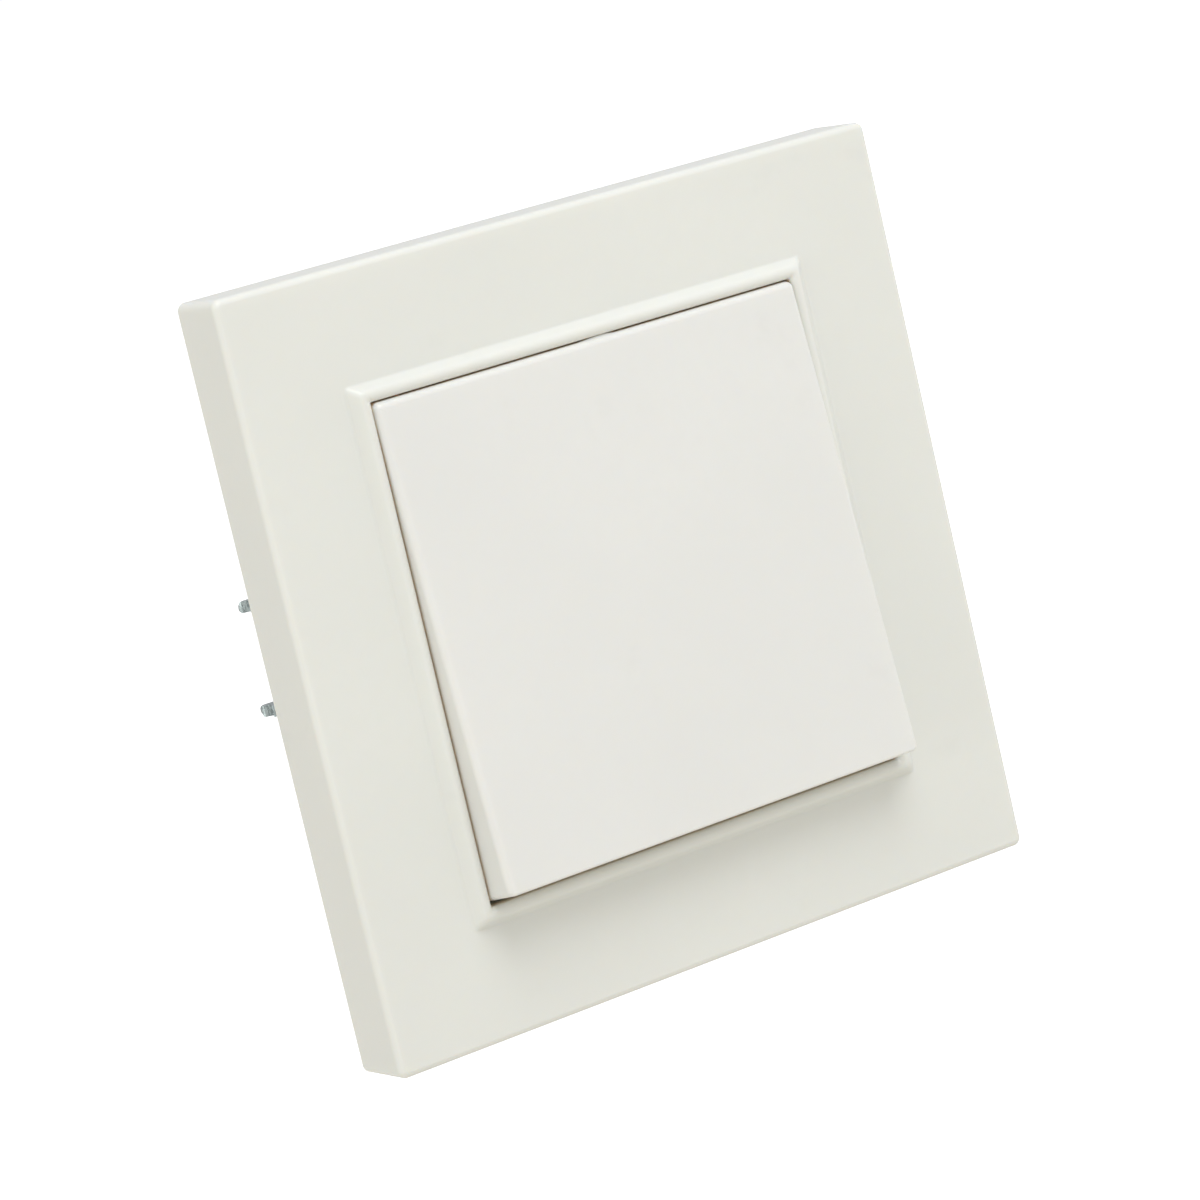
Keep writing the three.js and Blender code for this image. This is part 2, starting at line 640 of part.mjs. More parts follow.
// One claw: a slotted web with a toothed sheet arm above and below the screw. Side is -1 or 1.
function makeClaw(side) {
  const { pivotX, pivotY, web } = claw;
  const half = claw.thickness / 2;
  const arm = outline([...makeArmOuterEdge(), ...makeArmInnerEdge()].map(([x, y]) => [side * x, y]));
  const arms = overSides((sideZ) => {
    const span = onSide(sideZ, claw.armZ - half, claw.armZ + half);
    const centre = [side * pivotX, pivotY, 0];
    const ear = bar('z', claw.earRadius, span, centre);
    const pin = bar('z', claw.pinRadius, onSide(sideZ, claw.armZ - half, claw.pinEnd), centre, 16);
    return join(extrude(arm, 'xy', span), ear, pin);
  });
  const plate = block(onSide(side, web.inner, web.outer), [web.front, web.back], around(0, claw.armZ + half));
  const slot = block(
    around(side * clawScrew.x, web.slotHalf), past([web.front, web.back]),
    around(0, clawScrew.radius + clawScrew.holeMargin),
  );
  return cut(join(plate, ...arms), slot);
}

// The arm's edge that bites into the box, from the pivot out to the tip, with its teeth.
function makeArmOuterEdge() {
  const { pivotX, pivotY, earRadius, web, tip, tooth } = claw;
  const lean = (tip.x - web.outer) / (tip.y - web.back);
  const teeth = Array.from({ length: tooth.count }, (unused, i) => {
    const y = tip.y - tooth.pitch * (tooth.count - i);
    const x = tip.x - lean * (tip.y - y);
    return [[x - tooth.depth, y], [x, y + tooth.length]];
  });
  return [
    [web.inner, pivotY],
    [pivotX + earRadius / 2, pivotY - earRadius * 0.86],
    [web.outer - 2.5, web.front - 1.6],
    [web.outer, web.front],
    [web.outer, web.back + 1],
    ...teeth.flat(),
    ...arc([tip.x - tip.radius, tip.y - tip.radius], tip.radius, [0, 90], 3),
  ];
}

// The arm's inner edge, from the tip back to the web.
function makeArmInnerEdge() {
  const { web, tip } = claw;
  return [
    ...arc([tip.x - tip.width + tip.radius, tip.y - tip.radius], tip.radius, [90, 180], 3),
    [web.outer - 4.6, web.back + 2],
    [web.inner, web.back],
  ];
}

function makeClawScrew() {
  const { radius, end, headRadius, headHeight, slotWidth, slotDepth } = clawScrew;
  const seat = -ring.thickness - clearance;
  const top = seat - headHeight;
  const pointLength = 1;
  const body = turned([
    [0, top],
    [headRadius - 0.8, top],
    [headRadius - 0.2, top + 0.4],
    [headRadius, top + 0.9],
    [headRadius, seat],
    [radius, seat],
    [radius, end - pointLength],
    [radius - 0.6, end],
    [0, end],
  ], [0, 0, 0], 20);
  return cut(body, block(around(0, headRadius + 1), [top - 1, top + slotDepth], around(0, slotWidth / 2)));
}

// A barrel nut that lies across the claw, so that it stays seated as the claw swings.
function makeClawNut() {
  const barrel = bar('z', clawNut.radius, around(0, clawNut.length / 2));
  return barrel.subtract(bar('y', clawScrew.radius + clearance, past(around(0, clawNut.radius))));
}

// ------------------------------------------------------------ assembly

const rockerSwitch = new THREE.Group();
rockerSwitch.add(
  piece('cover_frame', makeCoverFrame(), ivoryFrame),
  piece('support_ring', makeSupportRing(), zincSteel),
  piece('base_housing', makeHousing(), greyPlastic),
  piece('housing_cover', makeHousingCover(), whitePlastic),
);

const tilting = new THREE.Group();
tilting.position.y = pivot.y;
tilting.rotation.x = -THREE.MathUtils.degToRad(rockerCap.tilt);
tilting.add(
  piece('rocker', makeRocker(), ivoryRocker),
  piece('rocker_carrier', makeCarrier(), whitePlastic),
  piece('plunger', makePlunger(), whitePlastic),
  piece('plunger_spring', makePlungerSpring(), springSteel),
);

const changeover = new THREE.Group();
changeover.position.y = lever.y;
changeover.rotation.x = THREE.MathUtils.degToRad(lever.swing);
changeover.add(piece('contact_lever', makeContactLever(), brass));
rockerSwitch.add(tilting, changeover);

const levels = { upper: 1, lower: -1 };
for (const [level, sideZ] of Object.entries(levels)) {
  const moving = piece(`moving_contact_${level}`, makeContactRivet(lever.thickness), silver);
  moving.rotation.x = Math.PI;
  moving.position.set(0, lever.thickness / 2 + clearance + contact.headHeight, sideZ * contact.reach);
  changeover.add(moving);
  const fixed = piece(`fixed_contact_${level}`, makeContactRivet(terminal.link.thickness), silver);
  fixed.position.set(0, contact.fixedFront, sideZ * contact.fixedReach);
  rockerSwitch.add(fixed);
}

for (const [name, { angle, wall }] of Object.entries(stations)) {
  const station = new THREE.Group();
  const busbar = name === 'common' ? makeCommonTerminal(wall) : makeSwitchedTerminal(wall);
  station.rotation.y = angle;
  station.add(
    piece(`terminal_${name}`, busbar, brass),
    piece(`clamp_spring_${name}`, makeClampSpring(wall), springSteel),
    piece(`release_button_${name}`, makeReleaseButton(wall), buttonPlastic),
  );
  rockerSwitch.add(station);
}

for (const [hand, side] of Object.entries({ left: -1, right: 1 })) {
  const screw = piece(`claw_screw_${hand}`, makeClawScrew(), zincSteel);
  const nut = piece(`claw_nut_${hand}`, makeClawNut(), zincSteel);
  screw.position.x = side * clawScrew.x;
  nut.position.set(side * clawScrew.x, claw.web.back + clearance + clawNut.radius, 0);
  rockerSwitch.add(piece(`claw_${hand}`, makeClaw(side), zincSteel), screw, nut);
  for (const [level, sideZ] of Object.entries(levels)) {
    const ringRivet = piece(`ring_rivet_${level}_${hand}`, makeRivet(), zincSteel);
    ringRivet.position.set(side * rivet.x, 0, sideZ * rivet.z);
    rockerSwitch.add(ringRivet);
  }
}

export default rockerSwitch;
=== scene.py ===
"""Studio look of a flush-mounted rocker switch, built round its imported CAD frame.

Lengths are millimetres in the CAD's own frame (+X right, +Y into the wall, +Z up). Each
finished mesh is scaled to metres, rides on its CAD body and stands for its CAD node.
"""

import json
import math

import bmesh
import bpy
from mathutils import Matrix, Vector

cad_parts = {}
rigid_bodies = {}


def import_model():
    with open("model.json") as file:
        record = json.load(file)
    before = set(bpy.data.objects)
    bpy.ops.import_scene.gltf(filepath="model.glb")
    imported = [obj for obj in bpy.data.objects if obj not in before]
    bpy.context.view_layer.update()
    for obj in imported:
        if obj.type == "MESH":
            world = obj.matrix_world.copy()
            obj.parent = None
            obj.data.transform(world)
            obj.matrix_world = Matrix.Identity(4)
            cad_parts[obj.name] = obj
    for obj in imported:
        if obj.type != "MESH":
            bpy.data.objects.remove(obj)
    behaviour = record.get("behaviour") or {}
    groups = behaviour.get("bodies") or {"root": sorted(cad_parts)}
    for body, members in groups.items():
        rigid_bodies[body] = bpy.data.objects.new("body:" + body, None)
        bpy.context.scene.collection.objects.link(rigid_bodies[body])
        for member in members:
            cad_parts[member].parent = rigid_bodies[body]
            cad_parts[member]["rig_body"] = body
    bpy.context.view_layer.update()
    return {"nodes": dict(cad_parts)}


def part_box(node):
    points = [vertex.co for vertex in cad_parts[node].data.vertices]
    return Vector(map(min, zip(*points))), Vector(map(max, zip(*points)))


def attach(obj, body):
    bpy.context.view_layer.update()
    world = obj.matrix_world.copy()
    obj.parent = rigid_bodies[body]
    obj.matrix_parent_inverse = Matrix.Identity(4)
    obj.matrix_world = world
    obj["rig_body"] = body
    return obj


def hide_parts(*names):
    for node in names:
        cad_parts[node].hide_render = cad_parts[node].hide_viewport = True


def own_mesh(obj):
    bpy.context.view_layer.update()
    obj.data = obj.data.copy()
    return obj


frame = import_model()
scene = bpy.context.scene
MM = 0.001
TOUCHING = 0.002


# ---------------------------------------------------------------- outlines and solids


def box_of(node):
    """Lowest and highest corner of a CAD node, in millimetres."""
    low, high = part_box(node)
    return low / MM, high / MM


def arc(centre, radius, start, end, steps=6):
    """Points of a circular arc, with its angles in degrees."""
    angles = [math.radians(start + (end - start) * i / steps) for i in range(steps + 1)]
    return [(centre[0] + radius * math.cos(a), centre[1] + radius * math.sin(a)) for a in angles]


def rounded_rectangle(half_x, half_z, radius, steps=8):
    """Points of a rounded rectangle round the Y axis."""
    corners = ((1, 1), (-1, 1), (-1, -1), (1, -1))
    points = []
    for quarter, (side_x, side_z) in enumerate(corners):
        centre = (side_x * (half_x - radius), side_z * (half_z - radius))
        points += arc(centre, radius, 90 * quarter, 90 * quarter + 90, steps)
    return points


def loft(rings, closed=False):
    """A skin through rings of equally many points. It closes on itself, or its two ends are capped."""
    bm = bmesh.new()
    rows = [[bm.verts.new(point) for point in ring] for ring in rings]
    pairs = list(zip(rows, rows[1:]))
    if closed:
        pairs.append((rows[-1], rows[0]))
    else:
        bm.faces.new(rows[0])
        bm.faces.new(rows[-1])
    for first, second in pairs:
        for i in range(len(first)):
            j = (i + 1) % len(first)
            bm.faces.new((first[i], first[j], second[j], second[i]))
    bmesh.ops.recalc_face_normals(bm, faces=bm.faces)
    return bm


def rounded_loft(rows, closed=False, steps=8):
    """A loft of rounded rectangles, from (half width, half height, corner radius, y) rows."""
    rings = []
    for half_x, half_z, radius, y in rows:
        rings.append([(x, y, z) for x, z in rounded_rectangle(half_x, half_z, radius, steps)])
    return loft(rings, closed)


def lathe(profile, segments=48):
    """A solid turned about the Y axis, from (radius, y) points that run from end to end."""
    angles = [2 * math.pi * i / segments for i in range(segments)]
    return cleaned(loft([[(r * math.cos(a), y, r * math.sin(a)) for a in angles] for r, y in profile]))


def prism(outline, low, high):
    """An (x, y) outline extruded along Z."""
    return loft([[(x, y, z) for x, y in outline] for z in (low, high)])


def block(x, y, z):
    """A box from its ranges, each given in either order."""
    return prism([(x[0], y[0]), (x[1], y[0]), (x[1], y[1]), (x[0], y[1])], *z)


def around(middle, half):
    """The range that reaches half a width to either side of its middle."""
    return (middle - half, middle + half)


def sweep(path, radius, sides=8):
    """A round wire along a path of points."""
    rings = []
    for i, point in enumerate(path):
        ahead = path[min(i + 1, len(path) - 1)] - path[max(i - 1, 0)]
        across = ahead.cross(Vector((0, 1, 0))).normalized()
        over = ahead.cross(across).normalized()
        angles = [2 * math.pi * k / sides for k in range(sides)]
        rings.append([point + radius * (across * math.cos(a) + over * math.sin(a)) for a in angles])
    return loft(rings)


def transformed(bm, matrix):
    """The solid moved, turned or mirrored, with its faces still outward."""
    bmesh.ops.transform(bm, matrix=matrix, verts=bm.verts)
    if matrix.determinant() < 0:
        bmesh.ops.reverse_faces(bm, faces=bm.faces)
    return bm


def object_of(bm, name="work"):
    mesh = bpy.data.meshes.new(name)
    bm.to_mesh(mesh)
    bm.free()
    item = bpy.data.objects.new(name, mesh)
    scene.collection.objects.link(item)
    return item


def combined(base, added=(), removed=()):
    """Joins solids to a base and then cuts others away from it."""
    work = object_of(base)
    tools = []
    for operation, solids in (("UNION", added), ("DIFFERENCE", removed)):
        for solid in solids:
            tools.append(object_of(solid))
            step = work.modifiers.new("step", "BOOLEAN")
            step.operation = operation
            step.solver = "MANIFOLD"
            step.object = tools[-1]
    bpy.context.view_layer.update()
    mesh = bpy.data.meshes.new_from_object(work.evaluated_get(bpy.context.evaluated_depsgraph_get()))
    result = bmesh.new()
    result.from_mesh(mesh)
    bpy.data.meshes.remove(mesh)
    for item in (work, *tools):
        bpy.data.meshes.remove(item.data)
    return cleaned(result)


def softened(bm, width):
    """Rounds the sharp edges of a solid."""
    flat, sharp = math.radians(1), math.radians(28)
    bmesh.ops.remove_doubles(bm, verts=bm.verts, dist=TOUCHING)
    bmesh.ops.dissolve_limit(bm, angle_limit=flat, verts=bm.verts, edges=bm.edges)
    edges = [e for e in bm.edges if e.is_manifold and e.calc_face_angle() > sharp]
    bmesh.ops.bevel(
        bm, geom=edges, offset=width, segments=2, profile=0.5, affect="EDGES", clamp_overlap=True
    )
    return cleaned(bm)


def cleaned(bm):
    """Merges corners that fall together, so that no face is left without an area."""
    bmesh.ops.remove_doubles(bm, verts=bm.verts, dist=1.5 * TOUCHING)
    bmesh.ops.dissolve_degenerate(bm, edges=bm.edges, dist=TOUCHING)
    return bm


def cad_copy(node):
    """The CAD node's own solid, in millimetres, with its flat areas merged."""
    bm = bmesh.new()
    bm.from_mesh(frame["nodes"][node].data)
    bmesh.ops.scale(bm, vec=(1 / MM,) * 3, verts=bm.verts)
    bmesh.ops.remove_doubles(bm, verts=bm.verts, dist=TOUCHING)
    for layer in list(bm.loops.layers.float_vector.values()):
        bm.loops.layers.float_vector.remove(layer)
    return bm


def place_piece(bm, node, suffix):
    """Puts a finished solid in the scene in the place of a CAD node."""
    source = frame["nodes"][node]
    slot = source.material_slots[0].name
    bmesh.ops.scale(bm, vec=(MM,) * 3, verts=bm.verts)
    piece = object_of(bm, f"{node}_{suffix}")
    piece.data.shade_smooth()
    piece.data.set_sharp_from_angle(angle=math.radians(40))
    piece.data.materials.clear()
    piece.data.materials.append(FINISHES[slot])
    weighted = piece.modifiers.new("flat_faces_stay_flat", "WEIGHTED_NORMAL")
    weighted.keep_sharp = True
    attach(piece, source["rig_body"])
    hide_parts(node)
    return piece


# ---------------------------------------------------------------- materials


class Finish:
    """A Principled material whose textures are laid out in millimetres on the piece itself."""

    def __init__(self, name, **settings):
        self.material = bpy.data.materials.new(name)
        self.material.use_nodes = True
        self.nodes = self.material.node_tree.nodes
        self.links = self.material.node_tree.links
        self.shader = self.nodes["Principled BSDF"]
        for setting, value in settings.items():
            socket = setting.replace("_", " ").title().replace("Ior", "IOR")
            self.shader.inputs[socket].default_value = value
        coordinates = self.nodes.new("ShaderNodeTexCoord")
        self.position = self.stretched(coordinates.outputs["Object"], (1 / MM,) * 3)
        self.normal = coordinates.outputs["Normal"]

    def set(self, target, value):
        if isinstance(value, bpy.types.NodeSocket):
            self.links.new(value, target)
        else:
            target.default_value = value

    def stretched(self, vector, scale):
        node = self.nodes.new("ShaderNodeVectorMath")
        node.operation = "MULTIPLY"
        self.set(node.inputs[0], vector)
        node.inputs[1].default_value = scale
        return node.outputs[0]

    def noise(self, size, detail=3, roughness=0.5, stretch=(1, 1, 1), seed=0.0):
        """Noise whose features are about the given size in millimetres."""
        node = self.nodes.new("ShaderNodeTexNoise")
        node.noise_dimensions = "4D"
        self.set(node.inputs["Vector"], self.stretched(self.position, stretch))
        self.set(node.inputs["W"], seed)
        self.set(node.inputs["Scale"], 1 / size)
        self.set(node.inputs["Detail"], detail)
        self.set(node.inputs["Roughness"], roughness)
        return node.outputs["Fac"]

    def cells(self, size, output="Distance", seed=0.0):
        """Distance to the middle of cells of about the given size in millimetres, or their colour."""
        node = self.nodes.new("ShaderNodeTexVoronoi")
        node.voronoi_dimensions = "4D"
        self.set(node.inputs["Vector"], self.position)
        self.set(node.inputs["W"], seed)
        self.set(node.inputs["Scale"], 1 / size)
        return node.outputs[output]

    def math(self, operation, *values):
        node = self.nodes.new("ShaderNodeMath")
        node.operation = operation
        for socket, value in zip(node.inputs, values):
            self.set(socket, value)
        return node.outputs[0]

    def ranged(self, value, source, target, smooth=False):
        node = self.nodes.new("ShaderNodeMapRange")
        node.interpolation_type = "SMOOTHSTEP" if smooth else "LINEAR"
        for name, number in zip(("From Min", "From Max", "To Min", "To Max"), (*source, *target)):
            self.set(node.inputs[name], number)
        self.set(node.inputs["Value"], value)
        return node.outputs["Result"]

    def mix(self, amount, first, second, blend="MIX"):
        node = self.nodes.new("ShaderNodeMix")
        node.data_type = "RGBA"
        node.blend_type = blend
        self.set(node.inputs["Factor"], amount)
        self.set(node.inputs[6], first)
        self.set(node.inputs[7], second)
        return node.outputs[2]

    def bumps(self, *layers):
        """Bump layers, each a height field from 0 to 1 with its full depth in millimetres."""
        normal = None
        for height, depth in layers:
            node = self.nodes.new("ShaderNodeBump")
            node.inputs["Strength"].default_value = 1
            node.inputs["Distance"].default_value = depth * MM
            self.set(node.inputs["Height"], height)
            if normal:
                self.set(node.inputs["Normal"], normal)
            normal = node.outputs["Normal"]
        self.set(self.shader.inputs["Normal"], normal)

    def edges(self, low=0.52, high=0.58):
        """1 on convex edges, where handling wears a surface and where moulded plastic gets a painted
        highlight, and 0 on flat and hollow ones.
        """
        geometry = self.nodes.new("ShaderNodeNewGeometry")
        return self.ranged(geometry.outputs["Pointiness"], (low, high), (0, 1), smooth=True)

    def painted_gap_shade(self, reach):
        """1 deep in gaps that are narrower than the reach in millimetres, where shade is painted."""
        node = self.nodes.new("ShaderNodeAmbientOcclusion")
        node.samples = 8
        node.inputs["Distance"].default_value = reach * MM
        return self.ranged(node.outputs["AO"], (0.0, 0.35), (0.85, 0), smooth=True)

    def specks(self, size, radius, share, seed):
        """A few round specks: the share of the cells of a size that hold one, and its largest radius."""
        cell = self.cells(size, seed=seed)
        chance = self.nodes.new("ShaderNodeSeparateColor")
        self.set(chance.inputs[0], self.cells(size, output="Color", seed=seed))
        spread = self.math("MULTIPLY", chance.outputs["Green"], radius / size)
        inside = self.math("LESS_THAN", cell, spread)
        chosen = self.math("LESS_THAN", chance.outputs["Red"], share)
        return self.math("MULTIPLY", inside, chosen)


def linear(*srgb):
    """A linear colour from an sRGB one with channels from 0 to 255."""
    return (*[((v / 255 + 0.055) / 1.055) ** 2.4 if v > 10 else v / 3294.6 for v in srgb], 1.0)


def scaled(colour, factor):
    """A lighter or darker colour."""
    return (*[channel * factor for channel in colour[:3]], 1.0)


def moulded(name, colour, roughness, grain=0.12, grain_depth=0.004, dust=0.05, handled=0.0, scatter=0.4):
    """Moulded plastic: satin mould texture, uneven tone, dust specks, faint smudges, convex edges
    painted a little lighter as partly handling wear and partly a painted highlight, and painted warm
    shade in narrow gaps.
    """
    finish = Finish(
        name, roughness=roughness, ior=1.5, specular_ior_level=0.45,
        subsurface_weight=scatter, subsurface_radius=(1.0, 0.85, 0.65), subsurface_scale=0.0016,
    )
    clouds = finish.noise(22, detail=2, seed=1.0)
    mottle = finish.noise(1.6, detail=4, seed=2.0)
    touches = finish.noise(9, detail=5, roughness=0.6, seed=3.0)
    smudge = finish.ranged(touches, (0.6, 0.72), (0, 1), smooth=True)
    cloudy = finish.ranged(clouds, (0.3, 0.7), (0, 1))
    tone = finish.mix(cloudy, scaled(colour, 0.985), scaled(colour, 1.012))
    tone = finish.mix(finish.ranged(mottle, (0.3, 0.7), (0, 0.5)), tone, scaled(colour, 0.99))
    tone = finish.mix(finish.math("MULTIPLY", smudge, 0.35), tone, scaled(colour, 0.94))
    speck = finish.specks(5.5, 0.24, dust, seed=4.0)
    tone = finish.mix(finish.math("MULTIPLY", speck, 0.7), tone, linear(120, 112, 98))
    convex_edges = finish.math("MULTIPLY", finish.edges(), 0.5 + handled)
    # Painted highlight, partly handling wear: convex edges are a little lighter.
    tone = finish.mix(finish.math("MULTIPLY", convex_edges, 0.12), tone, scaled(colour, 1.03))
    # Painted shade: gaps narrower than 1.4 mm are tinted a darker warm beige.
    tone = finish.mix(finish.painted_gap_shade(1.4), tone, linear(230, 208, 176))
    finish.set(finish.shader.inputs["Base Color"], tone)
    satin = finish.noise(0.7, detail=4, seed=5.0)
    uneven = finish.ranged(satin, (0.3, 0.7), (roughness - 0.03, roughness + 0.05))
    polished = finish.math("SUBTRACT", uneven, finish.math("MULTIPLY", convex_edges, 0.08))
    finish.set(
        finish.shader.inputs["Roughness"],
        finish.math("ADD", polished, finish.math("MULTIPLY", smudge, 0.07)),
    )
    finish.bumps(
        (finish.noise(14, detail=1, seed=6.0), 0.02),
        (finish.noise(grain, detail=2, seed=7.0), grain_depth),
        (speck, 0.02),
    )
    return finish.material


def metal(name, colour, tint, roughness, grain=(1, 1, 1), stain=0.25, sheared=None):
    """Plated or bare metal: rolled grain, uneven plating tint, small stains and bright edges from wear.

    Sheared is the axis across the sheet: its cut edges get the marks of the shears.
    """
    finish = Finish(name, metallic=1.0, roughness=roughness)
    patches = finish.noise(5, detail=4, roughness=0.6, seed=1.0)
    crystals = finish.cells(0.55, output="Color", seed=2.0)
    lines = finish.noise(0.22, detail=4, roughness=0.65, stretch=grain, seed=3.0)
    stains = finish.noise(1.1, detail=5, roughness=0.65, seed=4.0)
    spots = finish.ranged(stains, (0.62, 0.74), (0, 1), smooth=True)
    tone = finish.mix(finish.ranged(patches, (0.35, 0.65), (0, 1)), colour, tint)
    shade = finish.nodes.new("ShaderNodeSeparateColor")
    finish.set(shade.inputs[0], crystals)
    tone = finish.mix(finish.math("MULTIPLY", shade.outputs["Red"], 0.08), tone, scaled(colour, 0.75))
    tone = finish.mix(finish.ranged(lines, (0.35, 0.7), (0, 0.18)), tone, scaled(colour, 0.82))
    tone = finish.mix(finish.math("MULTIPLY", spots, stain), tone, scaled(colour, 0.3))
    convex_edges = finish.edges()
    tone = finish.mix(finish.math("MULTIPLY", convex_edges, 0.5), tone, scaled(colour, 1.25))
    heights = [(lines, 0.003), (finish.noise(0.5, detail=3, seed=5.0), 0.005)]
    rough = finish.ranged(lines, (0.3, 0.7), (roughness - 0.06, roughness + 0.1))
    rough = finish.math("ADD", rough, finish.math("MULTIPLY", spots, 0.2))
    rough = finish.math("SUBTRACT", rough, finish.math("MULTIPLY", convex_edges, 0.1))
    if sheared:
        axis = finish.nodes.new("ShaderNodeSeparateXYZ")
        finish.set(axis.inputs[0], finish.normal)
        facing = finish.math("ABSOLUTE", axis.outputs[sheared])
        cut = finish.ranged(facing, (0.35, 0.65), (1, 0), smooth=True)
        along = tuple(0.12 if letter == sheared else 1.0 for letter in "XYZ")
        marks = finish.noise(0.16, detail=3, roughness=0.7, stretch=along, seed=6.0)
        streaks = finish.math("MULTIPLY", cut, finish.ranged(marks, (0.5, 0.6), (0, 1), smooth=True))
        tone = finish.mix(finish.math("MULTIPLY", streaks, 0.5), tone, scaled(colour, 0.3))
        heights.append((streaks, -0.02))
    finish.set(finish.shader.inputs["Base Color"], tone)
    finish.set(finish.shader.inputs["Roughness"], rough)
    finish.bumps(*heights)
    return finish.material


FINISHES = {
    "ivory_frame": moulded("satin_ivory_frame", linear(226, 227, 220), 0.36, dust=0.05),
    "ivory_rocker": moulded("satin_ivory_rocker", linear(227, 227, 222), 0.32, dust=0.03, handled=0.4),
    "white_plastic": moulded("moulded_white", linear(222, 223, 220), 0.45, grain=0.2, grain_depth=0.006),
    "grey_plastic": moulded(
        "spark_eroded_grey", linear(176, 180, 182), 0.5, grain=0.22, grain_depth=0.014, scatter=0.04
    ),
    "button_plastic": moulded(
        "release_button_grey", linear(128, 138, 144), 0.45, grain=0.18, grain_depth=0.008, scatter=0.04
    ),
    "zinc_steel": metal(
        "zinc_plated_steel", linear(162, 175, 178), linear(170, 176, 172), 0.32,
        grain=(0.5, 1, 1), stain=0.45, sheared="Z"
    ),
    "spring_steel": metal(
        "spring_steel", linear(200, 201, 202), linear(192, 189, 182), 0.24, grain=(1, 0.2, 1), stain=0.15
    ),
    "brass": metal(
        "stamped_brass", linear(214, 180, 104), linear(196, 154, 84), 0.28, grain=(1, 1, 0.25)
    ),
    "silver": metal("contact_silver", linear(226, 225, 220), linear(205, 199, 186), 0.25, stain=0.35),
}


# ---------------------------------------------------------------- cover frame


def make_cover_frame():
    """The frame's shell as one mitred moulding, with its hooks and ribs inside."""
    low, high = box_of("cover_frame")
    half, lip = high.x, low.y
    front = -8.4
    wall = 1.8
    edge = 0.8
    rim_edge = 0.1
    foot, foot_fillet = 30.14, 0.6
    opening, taller = 27.56, 0.25
    lip_radius, slope = 0.8, 38.3
    flange_wall = 1.6
    flange_end = -3.2
    inside = front + wall
    outline = [(half - rim_edge, 0.95, 0.0), (half, 1.0, -rim_edge)]
    for x, y in arc((half - edge, front + edge), edge, 0, -90, 8):
        outline.append((x, max(0.25, 1.0 - (half - x)), y))
    for x, y in arc((foot, front - foot_fillet), foot_fillet, 90, 180 - slope, 6):
        outline.append((x, 0.6, y))
    for x, y in arc((opening + lip_radius, lip + lip_radius), lip_radius, -slope, -180, 12):
        outline.append((x, 0.2 + 0.3 * (x - opening), y))
    outline += [
        (opening, 0.2, flange_end - 0.15),
        (opening + 0.15, 0.3, flange_end),
        (opening + flange_wall - 0.15, 0.8, flange_end),
        (opening + flange_wall, 0.9, flange_end - 0.15),
        (opening + flange_wall, 0.9, inside + 0.3),
        (opening + flange_wall + 0.3, 0.9, inside),
        (half - wall - 0.3, 0.5, inside),
        (half - wall, 0.6, inside + 0.3),
        (half - wall, 0.6, -rim_edge),
        (half - wall + rim_edge, 0.7, 0.0),
    ]
    shell = rounded_loft([(x, x, radius, y) for x, radius, y in outline], closed=True)
    for vertex in shell.verts:
        inwards = foot - max(abs(vertex.co.x), abs(vertex.co.z))
        vertex.co.z += max(0.0, min(1.0, inwards)) * math.copysign(taller, vertex.co.z)
    inner = opening + flange_wall
    outer = half - wall
    details = []
    for side in (-1, 1):
        for other in (-1, 1):
            details += frame_hook(side, other, inside)
            details += frame_ribs(side, other, inside, inner, outer)
    return combined(shell, details)


def frame_hook(side, level, inside):
    """A snap hook with its barb, for one of the ring's tabs."""
    z = level * 18
    stem = block((side * 35, side * 36.4), (inside - 0.2, -2), around(z, 2.5))
    barb = ((33.8, -3.3), (34.0, -3.6), (35.2, -3.6), (35.2, -2.6), (34.4, -2.6))
    barb = prism([(side * x, y) for x, y in barb], *around(z, 1.5))
    return [softened(stem, 0.2), softened(barb, 0.08)]


def frame_ribs(side, level, inside, inner, outer):
    """Two stiffening ribs between the collar's flange and the side walls."""
    reach = level * 9
    span = (side * (inner - 0.2), side * (outer + 0.2))
    depth = (inside - 0.2, inside + 2.2)
    return [
        softened(block(span, depth, around(reach, 0.5)), 0.12),
        softened(block(around(reach, 0.5), depth, span), 0.12),
    ]


# ---------------------------------------------------------------- rocker and its mechanism

PIVOT_Y = -3.7
TILT = math.radians(4.4)
TILTED = Matrix.Translation((0, PIVOT_Y, 0)) @ Matrix.Rotation(-TILT, 4, "X")
OUTLINE_STEPS = 12


def rocker_outline(half_x, half_z):
    """The outline of the rocker's side walls, as points of a rounded rectangle."""
    return rounded_rectangle(half_x, half_z, 0.7, OUTLINE_STEPS)


